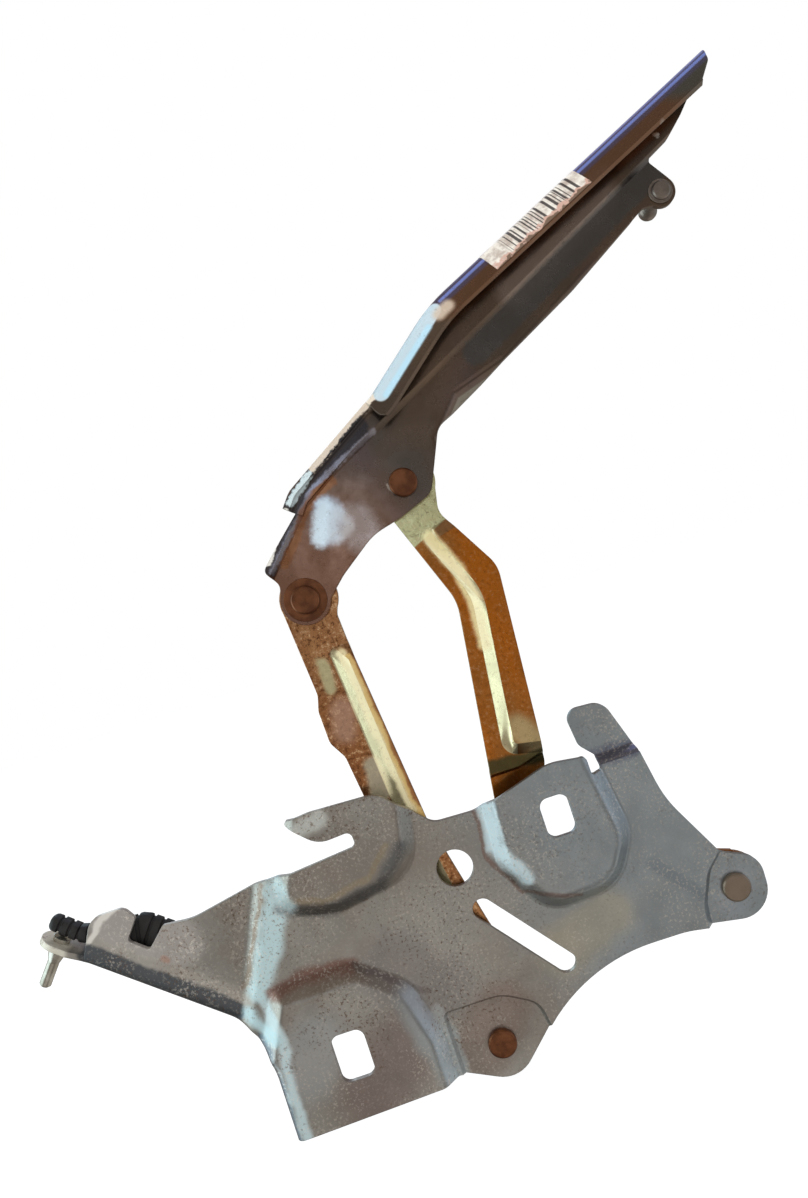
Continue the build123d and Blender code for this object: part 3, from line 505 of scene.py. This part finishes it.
# Each look: colour function; lowest and highest roughness and scale of its clouds; scale and height in
# metres of the fine and of the broad bump; how metallic; and for the label the radius of its soft edges
STEEL_ROUGH = (0.35, 0.5, 60)
STEEL_SKIN = (1500, 0.00001, 300, 0.00003)
STUD_SKIN = (1500, 0.00001, 300, 0.00004)
LOOKS = {
    "bracket_paint": (bracket_color, (0.34, 0.48, 60), (900, 0.00002, 160, 0.00008), 0.9),
    "arm_paint": (arm_color, (0.16, 0.30, 60), (700, 0.00001, 40, 0.00016), 0.85),
    "link_paint": (link_color, (0.16, 0.34, 60), (800, 0.00002, 90, 0.00016), 0.95),
    "rivet_steel": (rivet_color, (0.28, 0.45, 200), (1500, 0.00003, 400, 0.00008), 0.8),
    "bush_bronze": (plain((150, 112, 66), (176, 140, 92), 90), STEEL_ROUGH, STEEL_SKIN, 1.0),
    "washer_steel": (plain((120, 118, 114), (156, 154, 150), 90), STEEL_ROUGH, STEEL_SKIN, 1.0),
    "stud_steel": (plain((124, 116, 108), (148, 136, 128), 140), (0.30, 0.45, 60), STUD_SKIN, 0.8),
    "zinc_steel": (plain((168, 164, 152), (202, 198, 188), 140), (0.14, 0.30, 60), STUD_SKIN, 0.8),
    "buffer_rubber": (plain((22, 22, 23), (38, 37, 37), 120), (0.5, 0.75, 60), (1200, 0.00006, 200, 0.00010)),
    "label_paper": (label_color, (0.45, 0.6, 60), (300, 0.0001, 60, 0.0005), 0.0, 0.0002),
}
SLOTS = {name: surface(name, *look) for name, look in LOOKS.items()}
for part in frame["record"]["subparts"]:
    node = frame["nodes"][part["node"]]
    node.data.materials.clear()
    node.data.materials.append(SLOTS[part["material_slot"]])


# Buffer tubes, in metres
SIDES = 40
RING_STEP = 0.00045
CAP_LENGTH = 0.003
CAP_START = 0.25
RIB_FREE_END = 0.004
RIB_PITCH = 0.0052
GROOVE_WIDTH = 0.0015
GROOVE_DEPTH = 0.0009
SHARP_ANGLE = radians(40)


def place_on(points, heights, travel):
    """Middle, upward direction and half height of a tube at a distance along its axis."""
    legs = list(zip(points, points[1:]))
    lengths = [(after - before).length for before, after in legs]
    leg = 0
    while leg < len(lengths) - 1 and travel > lengths[leg]:
        travel -= lengths[leg]
        leg += 1
    before, after = legs[leg]
    share = travel / lengths[leg]
    run = (after - before).normalized()
    up = Vector((-run.z, 0, run.x)) if run.x > 0 else Vector((run.z, 0, -run.x))
    return before.lerp(after, share), up, heights[leg] + (heights[leg + 1] - heights[leg]) * share


def tube(name, axis, half_depth, ribs=True, square=3.0):
    """Closed tube along points of x, y, z and half height in millimetres; square 2 is round, more is boxier."""
    points = [Vector(point[:3]) / MM_PER_M for point in axis]
    heights = [point[3] / MM_PER_M for point in axis]
    depth = half_depth / MM_PER_M
    total = sum((after - before).length for before, after in zip(points, points[1:]))
    count = int(total / RING_STEP)
    verts = []
    for ring in range(count + 1):
        travel = total * ring / count
        middle, up, height = place_on(points, heights, travel)
        end = min(travel, total - travel)
        round_end = (1 - (1 - min(end / CAP_LENGTH, 1.0)) ** 2) ** 0.5
        cap = min(1.0, CAP_START + (1 - CAP_START) * round_end)
        groove = GROOVE_DEPTH if ribs and end > RIB_FREE_END and travel % RIB_PITCH < GROOVE_WIDTH else 0.0
        for side in range(SIDES):
            angle = 2 * pi * side / SIDES
            lift, reach = sin(angle), cos(angle)
            grow = (abs(lift) ** square + abs(reach) ** square) ** (-1 / square)
            rise = up * lift * grow * (height * cap - groove)
            verts.append(middle + (rise + Vector((0, 1, 0)) * reach * grow * (depth * cap - groove)))
    faces = []
    for low in range(0, count * SIDES, SIDES):
        high = low + SIDES
        for side in range(SIDES):
            after = (side + 1) % SIDES
            faces.append((low + side, low + after, high + after, high + side))
    faces.append(tuple(range(SIDES - 1, -1, -1)))
    faces.append(tuple(count * SIDES + side for side in range(SIDES)))
    mesh = bpy.data.meshes.new(name)
    mesh.from_pydata([tuple(vert) for vert in verts], [], faces)
    for face in mesh.polygons:
        face.use_smooth = True
    mesh.set_sharp_from_angle(angle=SHARP_ANGLE)
    piece = bpy.data.objects.new(name, mesh)
    scene.collection.objects.link(piece)
    piece.data.materials.append(SLOTS["buffer_rubber"])
    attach(piece, "base")
    return piece


# Buffer: ribbed rubber body behind the notch, on a short foot over the pin's head
BODY_AXIS = [
    (-206, 13.5, 36.5, 3.9),
    (-193, 13, 25.6, 4.2),
    (-180, 12.6, 20.5, 5.5),
    (-161, 12.6, 17.0, 8.5),
    (-149, 12.6, 8.0, 8.2),
]
FOOT_AXIS = [(-203.0, 14, 26.9, 3.6), (-200.4, 14, 30.2, 2.8)]
BODY_HALF_DEPTH = 5.0
FOOT_HALF_DEPTH = 3.4
ROUND = 2.0
buffer_body = tube("buffer_body", BODY_AXIS, BODY_HALF_DEPTH)
buffer_foot = tube("buffer_foot", FOOT_AXIS, FOOT_HALF_DEPTH, ribs=False, square=ROUND)
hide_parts("buffer")
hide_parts("buffer")

# Floor: pale and plain, seen only by the camera
FLOOR_Z = -0.112
FLOOR_REACH = 6.0
FLOOR_TONES = ((0.26, 0.26, 0.26, 1), (0.28, 0.28, 0.28, 1))
FLOOR_GLOW = 0.88
corners = [(x * FLOOR_REACH, y * FLOOR_REACH, FLOOR_Z) for x, y in ((-1, -1), (1, -1), (1, 1), (-1, 1))]
floor_mesh = bpy.data.meshes.new("floor")
floor_mesh.from_pydata(corners, [], [(0, 1, 2, 3)])
floor = bpy.data.objects.new("floor", floor_mesh)
scene.collection.objects.link(floor)
floor_material = bpy.data.materials.new("floor_paint")
floor_tree = Tree(floor_material)
floor_shader = floor_tree.add("ShaderNodeBsdfPrincipled")
floor_out = floor_tree.add("ShaderNodeOutputMaterial")
floor_where = floor_tree.add("ShaderNodeTexCoord").outputs["Object"]
floor_tone = floor_tree.mix(floor_tree.noise(floor_where, 3.0), *FLOOR_TONES)
floor_tree.join(floor_tone, floor_shader.inputs["Base Color"])
floor_shader.inputs["Roughness"].default_value = 0.9
floor_shader.inputs["Emission Color"].default_value = (1, 1, 1, 1)
floor_shader.inputs["Emission Strength"].default_value = FLOOR_GLOW
floor_tree.join(floor_shader.outputs["BSDF"], floor_out.inputs["Surface"])
floor.data.materials.append(floor_material)
floor.visible_glossy = False
floor.visible_diffuse = False

# Surroundings: white to the camera, a soft warm room with pale windows to everything else
# Each lobe: direction, inner and outer angle in degrees, colour, strength
ROOM = [
    ((-1.0, -0.15, 0.1), 20, 44, (0.75, 0.95, 1.0), 2.0),
    ((1.0, -0.1, 0.0), 15, 45, (0.75, 0.86, 1.0), 0.55),
    ((0.0, -1.0, -0.38), 8, 32, (1.0, 0.95, 0.9), 0.34),
    ((-0.38, 0.8, 0.5), 12, 20, (0.62, 0.86, 1.0), 2.0),
    ((0.2, 0.5, 0.84), 12, 22, (0.45, 0.55, 1.0), 1.2),
    ((-0.05, -0.99, 0.106), 1.2, 4.5, (0.62, 0.80, 1.0), 2.4),
    ((0.5, 0.3, -0.8), 15, 50, (1.0, 0.98, 0.92), 0.4),
]
ROOM_TONE = (0.25, 0.225, 0.20, 1)
world = bpy.data.worlds.new("world")
scene.world = world
sky = Tree(world)
sky_out = sky.add("ShaderNodeOutputWorld")
toward = sky.add("ShaderNodeTexCoord").outputs["Generated"]
glow = ROOM_TONE
for direction, inner, outer, color, strength in ROOM:
    middle = tuple(Vector(direction).normalized())
    share = sky.band(sky.dot(toward, middle), cos(radians(outer)), cos(radians(inner)))
    tint = tuple(channel * strength for channel in color)
    lobe = sky.mix(share, (0, 0, 0, 1), (*tint, 1))
    glow = sky.mix(1.0, lobe, glow, "ADD")
white = sky.add("ShaderNodeBackground")
white.inputs["Color"].default_value = (1, 1, 1, 1)
white.inputs["Strength"].default_value = 1.0
room = sky.add("ShaderNodeBackground")
sky.join(glow, room.inputs["Color"])
room.inputs["Strength"].default_value = 1.0
path = sky.add("ShaderNodeLightPath")
blend = sky.add("ShaderNodeMixShader")
sky.join(path.outputs["Is Camera Ray"], blend.inputs[0])
sky.join(room.outputs["Background"], blend.inputs[1])
sky.join(white.outputs["Background"], blend.inputs[2])
sky.join(blend.outputs["Shader"], sky_out.inputs["Surface"])

# Soft boxes that look at the hinge and don't show in its gloss
AIM = Vector((0.0, 0.0, 0.1))


def softbox(name, place, size, power, color):
    light = bpy.data.lights.new(name, "AREA")
    light.shape = "RECTANGLE"
    light.size = size
    light.size_y = size
    light.energy = power
    light.color = color
    lamp = bpy.data.objects.new(name, light)
    scene.collection.objects.link(lamp)
    lamp.location = place
    lamp.rotation_euler = (AIM - Vector(place)).to_track_quat("-Z", "Y").to_euler()
    lamp.visible_glossy = False


softbox("top_box", (-0.3, -0.6, 1.5), 1.2, 14, (1.0, 0.98, 0.95))
softbox("front_box", (0.0, -1.3, 0.35), 0.9, 7, (1.0, 0.99, 0.97))
